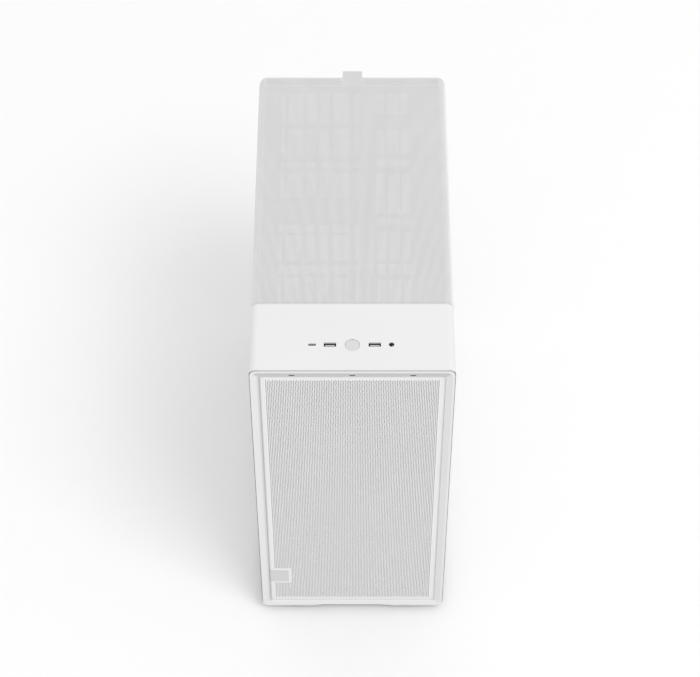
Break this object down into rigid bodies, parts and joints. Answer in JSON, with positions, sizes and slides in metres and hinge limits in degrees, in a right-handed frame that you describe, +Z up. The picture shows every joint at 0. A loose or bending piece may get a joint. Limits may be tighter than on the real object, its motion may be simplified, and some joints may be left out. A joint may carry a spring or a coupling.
{
  "type": "desktop computer tower",
  "caption": "White desktop computer tower with perforated front and top panels, a smooth socket cover with a round power button, lift-off side panels and working fans.",
  "frame": {"origin": "floor level, middle of the outer box", "axes": "+Z up, front faces -Y, +X to the right of someone looking at the front"},
  "size_m": [0.215, 0.4404, 0.47],
  "materials": {
    "white_plastic": "moulded, fine texture",
    "white_steel": "powder coated",
    "white_mesh": "powder coated, perforated",
    "tag_fabric": "woven tape",
    "button_plastic": "satin",
    "light_pipe": "smoked",
    "black_plastic": "moulded",
    "port_metal": "plated",
    "circuit_board": "solder mask",
    "brass_parts": "turned",
    "alloy": "stamped fins",
    "dark_alloy": "anodised",
    "dark_steel": "powder coated",
    "rubber_black": "moulded",
    "fan_blade": "moulded",
    "nickel": "nickel plated",
    "cable_sleeve": "matt sheath"
  },
  "bodies": {
    "chassis": {"chassis_base": "white_steel", "chassis_rear_panel": "white_steel", "chassis_front_plate": "white_steel", "chassis_top_plate": "white_steel", "motherboard_tray": "white_steel", "psu_shroud": "white_steel", "top_cap": "white_plastic", "feet": "black_plastic", "foot_pads": "rubber_black", "snap_sockets": "black_plastic", "io_board": "circuit_board", "usb_a_sockets": "port_metal", "usb_c_socket": "port_metal", "audio_socket": "black_plastic", "power_switch": "black_plastic", "motherboard": "circuit_board", "board_standoffs": "brass_parts", "board_sockets": "black_plastic", "board_heatsinks": "dark_alloy", "memory_modules": "black_plastic", "processor": "nickel", "rear_ports": "port_metal", "io_shield": "port_metal", "cooler_heatsink": "alloy", "cooler_fan_frame": "fan_blade", "graphics_card_board": "circuit_board", "graphics_card_shroud": "black_plastic", "graphics_card_bracket": "port_metal", "slot_covers": "white_steel", "slot_screws": "port_metal", "rear_fan_frame": "fan_blade", "front_fan_frame_bottom": "fan_blade", "front_fan_frame_middle": "fan_blade", "front_fan_frame_top": "fan_blade", "power_supply_case": "dark_steel", "psu_fan_frame": "black_plastic", "power_inlet": "black_plastic", "rocker_housing": "black_plastic", "drive_cage": "white_steel", "hard_drive": "alloy", "power_harness": "cable_sleeve"},
    "bezel": {"front_bezel": "white_plastic"},
    "front_mesh": {"front_mesh_panel": "white_mesh", "front_pull_tag": "tag_fabric"},
    "top_mesh": {"top_mesh_panel": "white_mesh", "rear_pull_tab": "tag_fabric"},
    "left_side": {"left_side_panel": "white_steel"},
    "right_side": {"right_side_panel": "white_steel"},
    "filter": {"dust_filter": "black_plastic"},
    "power_key": {"power_button": "button_plastic", "power_light": "light_pipe"},
    "front_rotor_bottom": {"front_fan_rotor_bottom": "fan_blade"},
    "front_rotor_middle": {"front_fan_rotor_middle": "fan_blade"},
    "front_rotor_top": {"front_fan_rotor_top": "fan_blade"},
    "rear_rotor": {"rear_fan_rotor": "fan_blade"},
    "cooler_rotor": {"cooler_fan_rotor": "fan_blade"},
    "psu_rotor": {"psu_fan_rotor": "black_plastic"},
    "card_rotor_rear": {"card_fan_rotor_rear": "black_plastic"},
    "card_rotor_front": {"card_fan_rotor_front": "black_plastic"},
    "rocker": {"power_rocker": "black_plastic"}
  },
  "joints": [
    {"name": "power_button_press", "type": "slide", "parent": "chassis", "child": "power_key", "axis": [0, 0, -1], "range_m": [0, 0.0012], "stiffness_N_per_m": 1500},
    {"name": "bezel_pull_off", "type": "slide", "parent": "chassis", "child": "bezel", "axis": [0, -1, 0], "range_m": [0, 0.06]},
    {"name": "front_mesh_tilt", "type": "hinge", "parent": "bezel", "child": "front_mesh", "pos_m": [0, -0.21545, 0.4569], "axis": [-1, 0, 0], "range_deg": [0, 18]},
    {"name": "top_mesh_lift", "type": "hinge", "parent": "chassis", "child": "top_mesh", "pos_m": [0, -0.13005, 0.47], "axis": [1, 0, 0], "range_deg": [0, 50]},
    {"name": "left_side_pull_off", "type": "slide", "parent": "chassis", "child": "left_side", "axis": [-1, 0, 0], "range_m": [0, 0.06]},
    {"name": "right_side_pull_off", "type": "slide", "parent": "chassis", "child": "right_side", "axis": [1, 0, 0], "range_m": [0, 0.06]},
    {"name": "dust_filter_slide", "type": "slide", "parent": "chassis", "child": "filter", "axis": [0, 1, 0], "range_m": [0, 0.2]},
    {"name": "front_fan_bottom_spin", "type": "hinge", "parent": "chassis", "child": "front_rotor_bottom", "pos_m": [0, -0.18125, 0.115], "axis": [0, 1, 0], "continuous": true},
    {"name": "front_fan_middle_spin", "type": "hinge", "parent": "chassis", "child": "front_rotor_middle", "pos_m": [0, -0.18125, 0.235], "axis": [0, 1, 0], "continuous": true},
    {"name": "front_fan_top_spin", "type": "hinge", "parent": "chassis", "child": "front_rotor_top", "pos_m": [0, -0.18125, 0.355], "axis": [0, 1, 0], "continuous": true},
    {"name": "rear_fan_spin", "type": "hinge", "parent": "chassis", "child": "rear_rotor", "pos_m": [-0.0306, 0.19275, 0.363], "axis": [0, 1, 0], "continuous": true},
    {"name": "cooler_fan_spin", "type": "hinge", "parent": "chassis", "child": "cooler_rotor", "pos_m": [-0.031, 0.07875, 0.352], "axis": [0, 1, 0], "continuous": true},
    {"name": "psu_fan_spin", "type": "hinge", "parent": "chassis", "child": "psu_rotor", "pos_m": [0.0028, 0.12675, 0.028], "axis": [0, 0, 1], "continuous": true},
    {"name": "card_fan_rear_spin", "type": "hinge", "parent": "chassis", "child": "card_rotor_rear", "pos_m": [0.00725, 0.12975, 0.22], "axis": [0, 0, 1], "continuous": true},
    {"name": "card_fan_front_spin", "type": "hinge", "parent": "chassis", "child": "card_rotor_front", "pos_m": [0.00725, 0.02575, 0.22], "axis": [0, 0, 1], "continuous": true},
    {"name": "power_rocker_tilt", "type": "hinge", "parent": "chassis", "child": "rocker", "pos_m": [0.008, 0.20075, 0.052], "axis": [1, 0, 0], "range_deg": [0, 14]}
  ]
}
